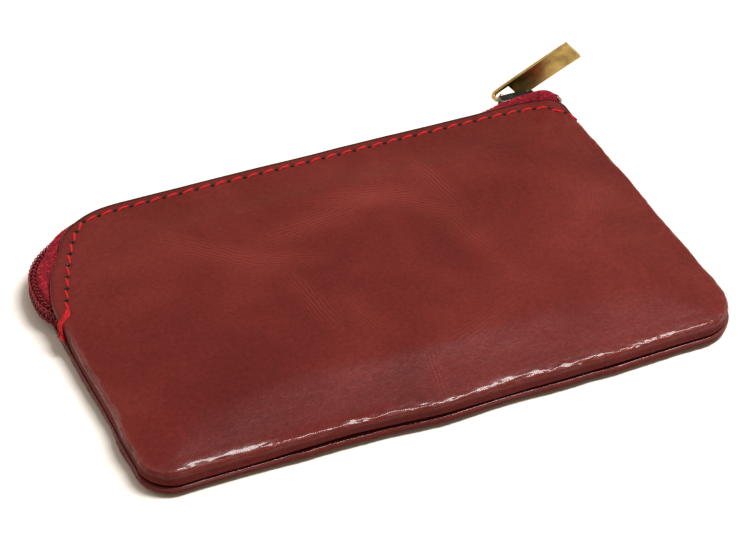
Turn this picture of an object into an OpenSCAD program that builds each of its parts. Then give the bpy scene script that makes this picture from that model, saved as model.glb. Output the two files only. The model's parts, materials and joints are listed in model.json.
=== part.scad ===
// Flat zippered pouch lying on its back panel: two sewn leather panels, a coil zip
// along one long side and round one corner, a slider and a folded metal puller.
// Frame: X along the zip towards the closed end, Y towards the zip, Z up.
// The origin is in the middle of the face the pouch lies on. Millimetres.

/* [Pouch] */
// Length of the pouch along the zip
body_w = 128.5; // [115:0.5:150]
// Depth of the pouch from the bottom seam to the zip
body_d = 81; // [70:0.5:100]
// Thickness of the filled-out middle and of the zip edge
body_t = 6.9; // [6.9:0.1:8]
// Thickness of the leather
leather_t = 1; // [0.8:0.05:1.1]
// Height of the seam between the two panels
seam_z = 2.3; // [2.2:0.05:2.5]
// Large corner that the zip runs round
zip_corner_r = 19; // [14:0.5:24]
// Corner at the closed end of the zip
end_corner_r = 4; // [4:0.5:6]
// Lower corner at the open end of the zip
low_corner_r = 7; // [6:0.5:12]
// Lower corner at the closed end of the zip
far_corner_r = 9.5; // [6:0.5:12]

/* [Zip] */
// How far up the short side the zip ends
zip_end_y = 10; // [5:0.5:18]
// Width of one half of the woven tape under the leather
tape_w = 8; // [5:0.5:10]
// Length of the slider body
slider_l = 10; // [9:0.5:11]
// Place of the slider's middle along the zip
slider_x = 56; // [20:0.5:56]

/* [Puller] */
// Length of the puller from its end bar to its tip
puller_l = 19.8; // [14:0.1:30]
// Width of the puller
puller_w = 6.1; // [5.8:0.1:7]
// How far the puller stands turned up out of the zip's line, in degrees
puller_yaw = 42; // [35:1:45]
// How far the puller leans over the pouch, in degrees
puller_lean = 13.5; // [10:0.5:15]

/* [Stitches] */
// Distance between the holes of the topstitch
stitch_pitch = 3.625; // [3:0.025:4.5]
// Distance of the topstitch from the cut edge
stitch_inset = 2.7; // [2.2:0.1:3.2]
// Thickness of the sewing thread
thread_d = 0.55; // [0.4:0.05:0.6]

/* [Hidden] */
$fn = 64;
half_w = body_w / 2;
half_d = body_d / 2;
slack = 0.05;                        // gap between pieces that lie on each other
through = 1;                         // how far a cutter runs past what it cuts

// Side profile of the filled pouch
roll_r = 2.9;                        // radius of the rolled bottom and side edges
slope_l = 18;                        // distance over which the sides rise to full thickness
roll_z = seam_z + roll_r;            // height of the rolled edge
allowance_w = 6;                     // width of the turned-in seam allowance
band_w = 13.4;                       // width of the full-height strip along the zip

// Zip chain: u is the distance outwards from the cut edge, dz from the chain's middle
chain_z = body_t / 2 + 0.35;         // the chain stands a little nearer the front panel
tape_t = 0.4;
tape_bend_r = 0.8;                   // outer radius of the bend in the tape
web_u = 1.05;                        // outer face of the tape behind the coil
coil_gap = 0.55;                     // half the gap between the two coils
coil_half = 1.8;                     // half the width of the closed chain
coil_top_u = 2.6;
core_d = 0.5;
core_bore = 0.6;
coil_thread_t = 0.1;
coil_thread_w = 0.6;
end_band_y = half_d - 9.5;           // the zip's closed end ends here on the short side
tape_w_at_end = end_corner_r - 0.6;  // the tape is tucked in round the small corner

// Lengths of the zip's stretches
top_l = body_w - zip_corner_r - end_corner_r;
side_l = half_d - zip_corner_r - zip_end_y;
end_l = half_d - end_corner_r - end_band_y;
top_start_x = -half_w + zip_corner_r;
end_start_x = half_w - end_corner_r;

// Slider: a plate on each side of the chain, joined by a thin wedge
plate_t = 0.65;
plate_u = 2.95;                      // inner face of the outer plate
plate_half = 3.2;
plate_top_u = plate_u + plate_t;
flange_t = 0.75;
flange_u = 1.35;
inner_plate_u = 0.35;
inner_plate_t = 1;
inner_plate_half = 1.35;
wedge_t = 0.5;
wedge_l = 1.8;

// Crown: a thin arch over the puller's end bar
pivot_x = slider_x - 1.7;
pivot_u = 5;
crown_r = 2.95;
crown_t = 0.5;
crown_w = 0.9;
crown_x = pivot_x + 0.7;

// Puller: end bar, curl and bowed strip
puller_t = 0.7;
curl_r = 1.1;                        // radius of the curl's middle line
curl_back = 0.8;                     // from the end bar to the start of the curl
bow_angle = 3;                       // how far the strip bends over its length
slot_w = 4.6;                        // opening for the crown
slot_l = 2.2;                        // how far the opening runs up the strip
puller_shift = -0.4;                 // how far the puller has slid along its end bar
bow_r = puller_l / (bow_angle * PI / 180);

seam_pitch = 3.6;
seam_inset = 2.2;
seam_start_y = zip_end_y - 2;

leather_color = [0.45, 0.17, 0.15];
tape_color = [0.55, 0.1, 0.14];
coil_color = [0.5, 0.08, 0.12];
thread_color = [0.8, 0.1, 0.15];
dark_metal = [0.2, 0.19, 0.18];
old_brass = [0.6, 0.46, 0.24];

// ---- Plan shape ----

// Cuts one corner of a rectangle to a round one. The corner points to +X, +Y.
module corner_cut(r) {
    difference() {
        square(r + through);
        circle(r);
    }
}

module rounded_corner(x, y, sx, sy, r) {
    translate([x - sx * r, y - sy * r])
        mirror([sx < 0 ? 1 : 0, 0])
            mirror([0, sy < 0 ? 1 : 0])
                corner_cut(r);
}

// Radius of a corner of the outline moved inwards by inset
function inner_r(r, inset) = max(r - inset, 0.5);

// The pouch seen from above, moved inwards by inset
module outline(inset = 0) {
    w = half_w - inset;
    d = half_d - inset;
    difference() {
        square([2 * w, 2 * d], center = true);
        rounded_corner(-w, d, -1, 1, inner_r(zip_corner_r, inset));
        rounded_corner(w, d, 1, 1, inner_r(end_corner_r, inset));
        rounded_corner(-w, -d, -1, -1, inner_r(low_corner_r, inset));
        rounded_corner(w, -d, 1, -1, inner_r(far_corner_r, inset));
    }
}

// Where the pouch is at full height up to its cut edge: along the zip
module zip_band(inset = 0) {
    wall = leather_t + slack;
    translate([-half_w, end_band_y - wall + inset])
        square([body_w, body_d]);
    translate([-half_w, zip_end_y - wall + inset])
        square([band_w - inset, body_d]);
}

// ---- Side profiles ----

// Height of the pouch across a seamed edge: x is the distance in from the edge
module edge_profile(inset, far) {
    top = body_t - inset;
    translate([roll_r, seam_z])
        circle(roll_r - inset);
    polygon([
        [roll_r, 0],
        [roll_r, roll_z - inset],
        [slope_l, top],
        [far, top],
        [far, 0]
    ]);
}

// The space under the front panel, or inside it with inset = leather_t
module filled_space(inset) {
    intersection() {
        linear_extrude(body_t)
            outline(inset);
        union() {
            sloped_space(inset);
            linear_extrude(body_t - inset)
                zip_band(inset);
        }
    }
}

module sloped_space(inset) {
    intersection() {
        translate([-half_w - through, -half_d, 0])
            rotate([90, 0, 90])
                linear_extrude(body_w + 2 * through)
                    edge_profile(inset, body_d + through);
        translate([-half_w, half_d + through, 0])
            rotate([90, 0, 0])
                linear_extrude(body_d + 2 * through)
                    edge_profile(inset, body_w + through);
        translate([half_w, -half_d - through, 0])
            rotate([90, 0, 180])
                linear_extrude(body_d + 2 * through)
                    edge_profile(inset, body_w + through);
    }
}

// ---- Sweeps along the zip: child 0 is a section in (u, z) ----

module along_side() {
    translate([-half_w, zip_end_y, 0])
        rotate([90, 0, 180])
            linear_extrude(side_l)
                children(0);
}

module along_big_corner() {
    translate([top_start_x, half_d - zip_corner_r, 0])
        rotate([0, 0, 90])
            rotate_extrude(angle = 90, $fn = 128)
                translate([zip_corner_r, 0])
                    children(0);
}

module along_top() {
    translate([top_start_x, half_d, 0])
        rotate([90, 0, 90])
            linear_extrude(top_l)
                children(0);
}

module along_small_corner() {
    translate([end_start_x, half_d - end_corner_r, 0])
        rotate_extrude(angle = 90)
            translate([end_corner_r, 0])
                children(0);
}

module along_end() {
    translate([half_w, end_band_y + end_l, 0])
        rotate([90, 0, 0])
            linear_extrude(end_l)
                children(0);
}

// Child 0 on the long stretches, child 1 round the small corner and down to the end
module along_zip() {
    along_side() children(0);
    along_big_corner() children(0);
    along_top() children(0);
    along_small_corner() children(1);
    along_end() children(1);
}

module mouth_section() {
    translate([-leather_t - slack, -through])
        square([leather_t + slack + through, body_t - leather_t + through]);
}

// Distance from the chain's middle to the inside of a panel.
// side is 1 for the half of the zip on the front panel and -1 for the back one.
function lip_dz(side) =
    (side > 0 ? body_t - chain_z : chain_z) - leather_t - slack;

module tape_section(side, width) {
    bend_u = web_u - tape_bend_r;
    bend_dz = lip_dz(side) - tape_bend_r;
    translate([0, chain_z])
        mirror([0, side < 0 ? 1 : 0]) {
            translate([web_u - tape_t, coil_gap])
                square([tape_t, bend_dz - coil_gap]);
            translate([-width, lip_dz(side) - tape_t])
                square([width + bend_u, tape_t]);
            translate([bend_u, bend_dz])
                intersection() {
                    square(tape_bend_r);
                    difference() {
                        circle(tape_bend_r);
                        circle(tape_bend_r - tape_t);
                    }
                }
        }
}

module zip_tape(side) {
    color(tape_color)
        along_zip() {
            tape_section(side, tape_w);
            tape_section(side, tape_w_at_end);
        }
}

coil_mid_u = (web_u + coil_top_u) / 2;
coil_mid_dz = (coil_gap + coil_half) / 2;

module coil_section(side) {
    translate([0, chain_z])
        mirror([0, side < 0 ? 1 : 0])
            difference() {
                translate([web_u + slack, coil_gap])
                    square([coil_top_u - web_u - slack, coil_half - coil_gap]);
                translate([coil_mid_u, coil_mid_dz])
                    circle(d = core_bore, $fn = 24);
            }
}

module core_section(side) {
    translate([coil_mid_u, chain_z + side * coil_mid_dz])
        circle(d = core_d, $fn = 24);
}

module coil_thread_section(side) {
    translate([coil_top_u + slack / 2, chain_z + side * coil_mid_dz - coil_thread_w / 2])
        square([coil_thread_t, coil_thread_w]);
}

module coil(side) {
    color(coil_color)
        along_zip() {
            coil_section(side);
            coil_section(side);
        }
}

module coil_core(side) {
    color(tape_color)
        along_zip() {
            core_section(side);
            core_section(side);
        }
}

module coil_thread(side) {
    color(thread_color)
        along_zip() {
            coil_thread_section(side);
            coil_thread_section(side);
        }
}

// ---- Panels ----

// The parts of the outline that are sewn: all but the stretch along the zip
module seamed_ring(width) {
    difference() {
        outline();
        outline(width);
        zip_band(-slack);
    }
}

module front_panel() {
    color(leather_color)
        difference() {
            union() {
                difference() {
                    filled_space(0);
                    filled_space(leather_t);
                    along_zip() {
                        mouth_section();
                        mouth_section();
                    }
                }
                translate([0, 0, seam_z + slack])
                    linear_extrude(leather_t)
                        seamed_ring(allowance_w);
            }
            translate([0, 0, -through])
                linear_extrude(seam_z + slack + through)
                    square([2 * body_w, 2 * body_d], center = true);
        }
}

module back_panel() {
    color(leather_color) {
        linear_extrude(leather_t)
            outline();
        linear_extrude(seam_z - slack)
            seamed_ring(allowance_w);
    }
}

// ---- Thread ----

big_arc_r = zip_corner_r - stitch_inset;
big_arc_l = big_arc_r * PI / 2;
stitch_path_l = side_l + big_arc_l + top_l;

// Middle and heading of the point at length s along the topstitch
function on_side(s) = [-half_w + stitch_inset, zip_end_y + s, 90];
function on_big_corner(s) =
    let (turn = s / big_arc_r * 180 / PI)
    [top_start_x - big_arc_r * cos(turn),
     half_d - zip_corner_r + big_arc_r * sin(turn),
     90 - turn];
function on_top(s) = [top_start_x + s, half_d - stitch_inset, 0];
function stitch_at(s) =
    s < side_l ? on_side(s)
    : s < side_l + big_arc_l ? on_big_corner(s - side_l)
    : on_top(s - side_l - big_arc_l);

module thread_bar(length) {
    rotate([0, 90, 0])
        cylinder(d = thread_d, h = length, center = true, $fn = 24);
}

module topstitch(z) {
    count = floor(stitch_path_l / stitch_pitch);
    color(thread_color)
        for (i = [0 : count - 1]) {
            p = stitch_at((i + 0.5) * stitch_pitch);
            translate([p[0], p[1], z])
                rotate([0, 0, p[2]])
                    thread_bar(stitch_pitch - 0.7);
        }
}

module topstitch_front() {
    topstitch(body_t);
}

// The thread on the back is pulled flush into the leather the pouch lies on
module topstitch_back() {
    topstitch(thread_d / 2 + slack / 2);
}

module seam_run(x0, y0, x1, y1) {
    run = norm([x1 - x0, y1 - y0]);
    count = floor(run / seam_pitch);
    heading = atan2(y1 - y0, x1 - x0);
    for (i = [0 : count - 1])
        translate([x0, y0, 0])
            rotate([0, 0, heading])
                translate([(i + 0.5) * run / count, 0, 0])
                    seam_stitch(run / count - 0.7);
}

// One stitch: a bar on the inner allowance and a leg down through both
module seam_stitch(length) {
    top = seam_z + slack + leather_t;
    translate([0, 0, top + thread_d / 2 - slack])
        thread_bar(length);
    translate([0, 0, leather_t + slack])
        cylinder(d = thread_d, h = top - leather_t, $fn = 24);
}

module seam_thread() {
    low_y = -half_d + seam_inset;
    left_x = -half_w + seam_inset;
    right_x = half_w - seam_inset;
    color(thread_color) {
        seam_run(left_x, seam_start_y, left_x, -half_d + low_corner_r);
        seam_run(-half_w + low_corner_r, low_y, half_w - far_corner_r, low_y);
        seam_run(right_x, -half_d + far_corner_r, right_x, end_band_y - 2);
    }
}

// Bar of close stitches that holds the two tapes together at an end of the zip
module end_tack(x, y) {
    color(thread_color)
        translate([x, y, chain_z])
            cube([1.2, 2, 2 * coil_gap + 2.6], center = true);
}

module end_tack_open() {
    end_tack(-half_w - coil_mid_u + 0.2, zip_end_y - 1.1);
}

module end_tack_closed() {
    end_tack(half_w + coil_mid_u - 0.2, end_band_y - 1.1);
}

// Loose end of the topstitch thread at the open end of the zip
module thread_tail() {
    color(thread_color)
        translate([-half_w - 1.5, zip_end_y - 3, seam_z + 0.3])
            rotate([0, 0, 200])
                rotate_extrude(angle = 130)
                    translate([1.6, 0])
                        circle(d = thread_d, $fn = 24);
}

// ---- Slider ----

// Plan shape of a slider plate in (x, z): square tail and round nose
module plate_shape(half, length) {
    translate([-length / 2, -half])
        square([length - half, 2 * half]);
    translate([length / 2 - half, 0])
        circle(half);
}

// Stands a shape drawn in (x, z) on the chain, from u outwards by thickness
module on_chain(u, thickness) {
    translate([slider_x, half_d + u + thickness, chain_z])
        rotate([90, 0, 0])
            linear_extrude(thickness)
                children();
}

module slider_body() {
    flange_l = slider_l - plate_half;
    wedge_x = slider_l / 2 - wedge_l - 0.6;
    color(dark_metal) {
        on_chain(plate_u, plate_t)
            plate_shape(plate_half, slider_l);
        on_chain(flange_u, plate_u - flange_u + slack)
            for (side = [-1, 1])
                translate([-slider_l / 2, side * (plate_half - flange_t / 2) - flange_t / 2])
                    square([flange_l, flange_t]);
        on_chain(inner_plate_u - inner_plate_t, inner_plate_t)
            plate_shape(inner_plate_half, slider_l - 0.6);
        on_chain(inner_plate_u - slack, plate_u - inner_plate_u + 2 * slack)
            translate([wedge_x, -wedge_t / 2])
                square([wedge_l, wedge_t]);
    }
}

module slider_crown() {
    color(old_brass)
        translate([crown_x, half_d + plate_top_u, chain_z - crown_w / 2])
            linear_extrude(crown_w)
                intersection() {
                    difference() {
                        circle(crown_r);
                        circle(crown_r - crown_t);
                    }
                    translate([-crown_r, slack / 2])
                        square([2 * crown_r, crown_r]);
                }
}

// ---- Puller, drawn with its end bar on the origin and its strip along +X ----

module curl_section() {
    intersection() {
        difference() {
            circle(curl_r + puller_t / 2);
            circle(curl_r - puller_t / 2);
        }
        translate([-2 * curl_r, -2 * curl_r])
            square([2 * curl_r, 4 * curl_r]);
    }
}

module bowed_section() {
    intersection() {
        difference() {
            circle(bow_r + puller_t / 2, $fn = 720);
            circle(bow_r - puller_t / 2, $fn = 720);
        }
        polygon([
            [0, 0],
            [0, 2 * bow_r],
            [2 * bow_r * tan(bow_angle), 2 * bow_r]
        ]);
    }
}

module puller_section() {
    circle(d = puller_t + 0.1, $fn = 32);
    translate([-curl_back, -puller_t / 2])
        square([curl_back, puller_t]);
    translate([-curl_back, curl_r])
        curl_section();
    translate([-curl_back, 2 * curl_r - bow_r])
        bowed_section();
}

module puller() {
    slot_start = -curl_back - curl_r - puller_t;
    color(old_brass)
        translate([pivot_x, half_d + pivot_u, chain_z])
            rotate([0, -puller_yaw, 0])
                rotate([0, 0, -puller_lean])
                    translate([0, 0, puller_shift])
                        difference() {
                            linear_extrude(puller_w, center = true)
                                puller_section();
                            puller_slot(slot_start);
                        }
}

// Opening round the crown, from the end bar over the curl to the strip's foot
module puller_slot(start) {
    bar_clear = puller_t / 2 + 0.1;
    translate([start, -through, -slot_w / 2])
        cube([-start - bar_clear, 2 * curl_r + 2 * through, slot_w]);
    translate([start, curl_r, -slot_w / 2])
        cube([slot_l - start, curl_r + 2 * through, slot_w]);
}

front_panel();
back_panel();
zip_tape(1);  // zip_tape_front
zip_tape(-1);  // zip_tape_back
coil(1);  // coil_front
coil(-1);  // coil_back
coil_core(1);  // coil_core_front
coil_core(-1);  // coil_core_back
coil_thread(1);  // coil_thread_front
coil_thread(-1);  // coil_thread_back
topstitch_front();
topstitch_back();
seam_thread();
end_tack_open();
end_tack_closed();
thread_tail();
slider_body();
slider_crown();
puller();
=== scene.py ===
"""Looks of the zippered pouch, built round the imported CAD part.

Lengths are in millimetres until mesh() scales them.
"""

import json
import math

import bpy
import numpy as np
from mathutils import Matrix, Vector
from mathutils.bvhtree import BVHTree


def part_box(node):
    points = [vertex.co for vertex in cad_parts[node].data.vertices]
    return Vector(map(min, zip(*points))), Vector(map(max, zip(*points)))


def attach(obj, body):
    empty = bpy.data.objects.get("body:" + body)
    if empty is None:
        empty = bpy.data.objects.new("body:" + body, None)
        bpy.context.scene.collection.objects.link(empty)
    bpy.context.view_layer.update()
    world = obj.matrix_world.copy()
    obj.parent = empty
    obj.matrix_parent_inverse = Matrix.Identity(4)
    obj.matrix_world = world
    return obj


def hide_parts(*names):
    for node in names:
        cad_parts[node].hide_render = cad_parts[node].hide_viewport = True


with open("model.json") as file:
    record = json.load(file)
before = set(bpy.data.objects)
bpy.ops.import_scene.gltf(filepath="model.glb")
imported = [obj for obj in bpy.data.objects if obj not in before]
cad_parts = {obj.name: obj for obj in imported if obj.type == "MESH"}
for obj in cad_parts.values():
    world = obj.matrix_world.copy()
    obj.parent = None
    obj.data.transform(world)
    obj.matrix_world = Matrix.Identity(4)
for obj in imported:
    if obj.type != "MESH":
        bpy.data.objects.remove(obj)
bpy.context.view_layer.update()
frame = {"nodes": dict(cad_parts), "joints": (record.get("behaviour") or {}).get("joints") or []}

MM = 0.001
rng = np.random.default_rng(7)


def box_mm(node):
    """Lowest and highest corner of a CAD node in millimetres."""
    low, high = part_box(node)
    return np.array(low) / MM, np.array(high) / MM


# ---- Sizes, from the frame ----

_, panel_high = box_mm("front_panel")
_, back_high = box_mm("back_panel")
_, coil_high = box_mm("coil_front")
coil_back_low, _ = box_mm("coil_back")
_, tack_high = box_mm("end_tack_open")
slider_low, slider_high = box_mm("slider_body")

HALF_W = panel_high[0]
HALF_D = panel_high[1]
LIP_Z = panel_high[2]
SEAM_Z = back_high[2]
CHAIN_Z = (coil_back_low[2] + coil_high[2]) / 2
COIL_HALF = coil_high[2] - CHAIN_Z
COIL_TOP_U = coil_high[1] - HALF_D
SLIDER_X = (slider_low[0] + slider_high[0]) / 2
ZIP_END_Y = tack_high[1] + 0.1

# Corner radii of the outline: zipped corner, closed end, far low corner, low corner
ZIP_R, END_R, FAR_R, LOW_R = 19.0, 4.0, 9.5, 7.0
LEATHER_T = 1.0
STITCH_PITCH = 3.625
THREAD_D = 0.5
COIL_PITCH = 1.15


# ---- Plain maths ----


def smooth(x, low, high):
    """0 below low, 1 above high, smooth between."""
    t = np.clip((np.asarray(x, float) - low) / (high - low), 0, 1)
    return t * t * (3 - 2 * t)


def bump(x, middle, width):
    """1 at the middle, falling to 0 about two widths away."""
    return np.exp(-(((np.asarray(x, float) - middle) / width) ** 2))


class Noise:
    """Smooth random heights between -1 and 1 over a plane."""

    def __init__(self, seed, size=256):
        self.size = size
        self.grid = np.random.default_rng(seed).uniform(-1, 1, (size, size))

    def at(self, x, y):
        """Height at any point, read smoothly from the grid."""
        x, y = np.asarray(x, float), np.asarray(y, float)
        i, j = np.floor(x).astype(int), np.floor(y).astype(int)
        fx, fy = x - i, y - j
        fx, fy = fx * fx * (3 - 2 * fx), fy * fy * (3 - 2 * fy)
        g, n = self.grid, self.size
        low = g[i % n, j % n] * (1 - fx) + g[(i + 1) % n, j % n] * fx
        high = g[i % n, (j + 1) % n] * (1 - fx) + g[(i + 1) % n, (j + 1) % n] * fx
        return low * (1 - fy) + high * fy

    def layers(self, x, y, scale, count=3):
        """Sum of ever finer noise, the coarsest with bumps about scale wide."""
        total, share = 0.0, 1.0
        for k in range(count):
            total = total + share * self.at(x / scale + 17.3 * k, y / scale + 5.1 * k)
            scale, share = scale / 2, share / 2
        return total


def curve_through(points, count):
    """Points of a smooth curve through a few points (Catmull-Rom)."""
    p = np.array(points, float)
    p = np.vstack([2 * p[0] - p[1], p, 2 * p[-1] - p[-2]])
    t = np.linspace(0, len(points) - 1, count)
    k = np.clip(t.astype(int), 0, len(points) - 2)
    f = (t - k)[:, None]
    a, b, c, d = p[k], p[k + 1], p[k + 2], p[k + 3]
    return 0.5 * (2 * b + (c - a) * f + (2 * a - 5 * b + 4 * c - d) * f**2 + (3 * b - a - 3 * c + d) * f**3)


# ---- The outline: distance s runs from the low left corner up the left side,
# ---- along the zip, down the right side and back along the bottom


def line(x0, y0, x1, y1, step):
    """Points and outward normals along a straight stretch, without its last point."""
    length = math.hypot(x1 - x0, y1 - y0)
    n = max(2, int(length / step))
    t = (np.arange(n) / n)[:, None]
    run = np.array([x1 - x0, y1 - y0])
    ahead = run / length
    return np.array([x0, y0]) + t * run, np.tile([-ahead[1], ahead[0]], (n, 1))


def arc(cx, cy, r, start, end, step):
    """Points and outward normals along a corner, from start to end in degrees, without its last point."""
    n = max(3, int(r * abs(math.radians(end - start)) / step))
    a = np.radians(start + (end - start) * np.arange(n) / n)
    normal = np.stack([np.cos(a), np.sin(a)], 1)
    return np.array([cx, cy]) + r * normal, normal


def outline(step):
    """Points, outward normals and distances round the pouch, closed."""
    w, d = HALF_W, HALF_D
    runs = [
        line(-w, -d + LOW_R, -w, d - ZIP_R, step),
        arc(-w + ZIP_R, d - ZIP_R, ZIP_R, 180, 90, step),
        line(-w + ZIP_R, d, w - END_R, d, step),
        arc(w - END_R, d - END_R, END_R, 90, 0, step),
        line(w, d - END_R, w, -d + FAR_R, step),
        arc(w - FAR_R, -d + FAR_R, FAR_R, 0, -90, step),
        line(w - FAR_R, -d, -w + LOW_R, -d, step),
        arc(-w + LOW_R, -d + LOW_R, LOW_R, -90, -180, step),
    ]
    p = np.vstack([r[0] for r in runs])
    n = np.vstack([r[1] for r in runs])
    gaps = np.linalg.norm(np.roll(p, -1, 0) - p, axis=1)
    return p, n, np.concatenate([[0], np.cumsum(gaps)[:-1]])


S_ZIP_START = ZIP_END_Y + HALF_D - LOW_R
S_BIG_ARC = 2 * HALF_D - LOW_R - ZIP_R
S_TOP = S_BIG_ARC + ZIP_R * math.pi / 2
S_SMALL_ARC = S_TOP + 2 * HALF_W - ZIP_R - END_R
S_RIGHT = S_SMALL_ARC + END_R * math.pi / 2
S_ZIP_STOP = S_RIGHT + 5.5
S_CHAIN_STOP = S_SMALL_ARC + 5.0
S_FAR_ARC = S_RIGHT + 2 * HALF_D - END_R - FAR_R
S_BOTTOM = S_FAR_ARC + FAR_R * math.pi / 2
S_LOW_ARC = S_BOTTOM + 2 * HALF_W - FAR_R - LOW_R


def zip_weight(s):
    """1 where the edge is cut and zipped, 0 where it is a turned seam."""
    return smooth(s, S_ZIP_START - 9, S_ZIP_START + 4) * (1 - smooth(s, S_ZIP_STOP - 7, S_ZIP_STOP + 6))


# Swells of the cut leather edge, as (middle along the outline, distance outwards, width)
LIP_SWELLS = [
    (S_BIG_ARC - 9.0, 0.5, 5.0),
    (S_BIG_ARC + 8.3, -4.1, 9.5),
    (S_BIG_ARC + 22.0, -1.6, 9.0),
    (S_SMALL_ARC + 1.5, -0.6, 6.0),
]
TOP_INSET = 0.3


def lip_indent(s):
    """How far the cut leather edge stands out from the plain outline, mostly less than 0."""
    swells = sum(height * bump(s, middle, width) for middle, height, width in LIP_SWELLS)
    return swells - TOP_INSET * smooth(s, S_TOP, S_TOP + 10)


LEAN_OUT, LEAN_IN = 0.8, 1.0
DRAWN_IN = 1.8


def lean(x, y):
    """The right side leans outwards towards the zip, and the lower side is drawn in over its left half."""
    lean_middle = (LEAN_OUT - LEAN_IN) / 2
    lean_slope = (LEAN_OUT + LEAN_IN) / 2
    out = smooth(x, 25, HALF_W) * (lean_slope * y / HALF_D + lean_middle)
    drawn_in = DRAWN_IN * smooth(-x, 2, 26) * smooth(-y, 4, HALF_D)
    return x + out, y + drawn_in


edge_noise = Noise(3)
sample_p, sample_n, sample_s = outline(0.4)


def on_outline(s):
    """Point and outward normal of the plain outline at distance s."""
    s = np.asarray(s, float)
    point = np.stack([np.interp(s, sample_s, sample_p[:, k]) for k in range(2)], -1)
    normal = np.stack([np.interp(s, sample_s, sample_n[:, k]) for k in range(2)], -1)
    return point, normal / np.linalg.norm(normal, axis=-1, keepdims=True)


# ---- Meshes ----


def mesh(name, points, faces, material, body, stands_for=(), layers=None, flat=False):
    """Makes a piece from points in millimetres and rides it on a CAD body."""
    data = bpy.data.meshes.new(name)
    data.from_pydata((np.asarray(points, float) * MM).tolist(), [], [list(map(int, f)) for f in faces])
    for layer, values in (layers or {}).items():
        attribute = data.attributes.new(layer, "FLOAT", "POINT")
        attribute.data.foreach_set("value", np.asarray(values, np.float32))
    data.validate()
    if not flat:
        data.polygons.foreach_set("use_smooth", [True] * len(data.polygons))
    data.materials.append(material)
    obj = bpy.data.objects.new(name, data)
    bpy.context.scene.collection.objects.link(obj)
    if body:
        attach(obj, body)
    if stands_for:
        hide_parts(*stands_for)
    return obj


def grid_faces(rows, columns, wrap_rows=False, wrap_columns=False):
    """Four-sided faces of a grid of points, closed on itself where it wraps."""
    r = np.arange(rows if wrap_rows else rows - 1)
    c = np.arange(columns if wrap_columns else columns - 1)
    r, c = np.meshgrid(r, c, indexing="ij")
    r2, c2 = (r + 1) % rows, (c + 1) % columns
    quads = np.stack([r * columns + c, r2 * columns + c, r2 * columns + c2, r * columns + c2], -1)
    return quads.reshape(-1, 4)


class Pile:
    """Collects many small shells into one mesh."""

    def __init__(self):
        self.points, self.faces, self.count = [], [], 0

    def add(self, points, faces):
        self.points.append(points)
        self.faces.extend([[i + self.count for i in f] for f in faces])
        self.count += len(points)

    def all(self):
        return np.vstack(self.points), self.faces


def tube(path, radius, sides=8, lobes=0, twist=0.0, depth=0.0):
    """Tube round a path, closed at both ends. lobes and twist give it plies like a thread."""
    path = np.asarray(path, float)
    n = len(path)
    tangent = np.gradient(path, axis=0)
    tangent /= np.linalg.norm(tangent, axis=1, keepdims=True)
    up = np.array([0.0, 0.0, 1.0]) if abs(tangent[:, 2]).mean() < 0.7 else np.array([0.0, 1.0, 0.0])
    side = np.cross(tangent, up)
    side /= np.linalg.norm(side, axis=1, keepdims=True)
    top = np.cross(side, tangent)
    along = np.concatenate([[0], np.cumsum(np.linalg.norm(np.diff(path, axis=0), axis=1))])
    a = np.linspace(0, 2 * math.pi, sides, endpoint=False)
    r = np.broadcast_to(np.asarray(radius, float), n)[:, None] * np.ones(sides)
    if lobes:
        r = r * (1 + depth * np.abs(np.cos((a[None, :] * lobes + twist * along[:, None]) / 2)) - depth / 2)
    ring = path[:, None, :] + r[..., None] * (
        np.cos(a)[None, :, None] * side[:, None, :] + np.sin(a)[None, :, None] * top[:, None, :]
    )
    faces = grid_faces(n, sides, wrap_columns=True).tolist()
    faces.append(list(range(sides)))
    faces.append([(n - 1) * sides + k for k in reversed(range(sides))])
    return ring.reshape(-1, 3), faces


# ---- Materials ----


def material(name):
    """A new material, with its node tree and its one Principled shader."""
    m = bpy.data.materials.new(name)
    m.use_nodes = True
    tree = m.node_tree
    tree.nodes.clear()
    out = tree.nodes.new("ShaderNodeOutputMaterial")
    shader = tree.nodes.new("ShaderNodeBsdfPrincipled")
    tree.links.new(shader.outputs["BSDF"], out.inputs["Surface"])
    return m, tree, shader


def object_space(tree):
    """Coordinates in millimetres of the piece's own space."""
    place = tree.nodes.new("ShaderNodeTexCoord")
    scaled = tree.nodes.new("ShaderNodeMapping")
    scaled.inputs["Scale"].default_value = [1 / MM] * 3
    tree.links.new(place.outputs["Object"], scaled.inputs["Vector"])
    return scaled.outputs["Vector"]


def noise(tree, where, scale, detail=3.0, roughness=0.55, distortion=0.0):
    """Value of a noise texture, scale bumps to the millimetre."""
    n = tree.nodes.new("ShaderNodeTexNoise")
    n.inputs["Scale"].default_value = scale
    n.inputs["Detail"].default_value = detail
    n.inputs["Roughness"].default_value = roughness
    n.inputs["Distortion"].default_value = distortion
    tree.links.new(where, n.inputs["Vector"])
    return n.outputs["Fac"]


def ramp(tree, value, *stops):
    """Colour of a value, by stops of (place, colour)."""
    r = tree.nodes.new("ShaderNodeValToRGB")
    r.color_ramp.elements[0].position = stops[0][0]
    r.color_ramp.elements[0].color = (*stops[0][1], 1)
    r.color_ramp.elements[1].position = stops[-1][0]
    r.color_ramp.elements[1].color = (*stops[-1][1], 1)
    for at, color in stops[1:-1]:
        r.color_ramp.elements.new(at).color = (*color, 1)
    tree.links.new(value, r.inputs["Fac"])
    return r.outputs["Color"]


def socket_of(sockets, name, kind):
    """The first socket with this name and type."""
    return next(s for s in sockets if s.name == name and s.type == kind)


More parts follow.
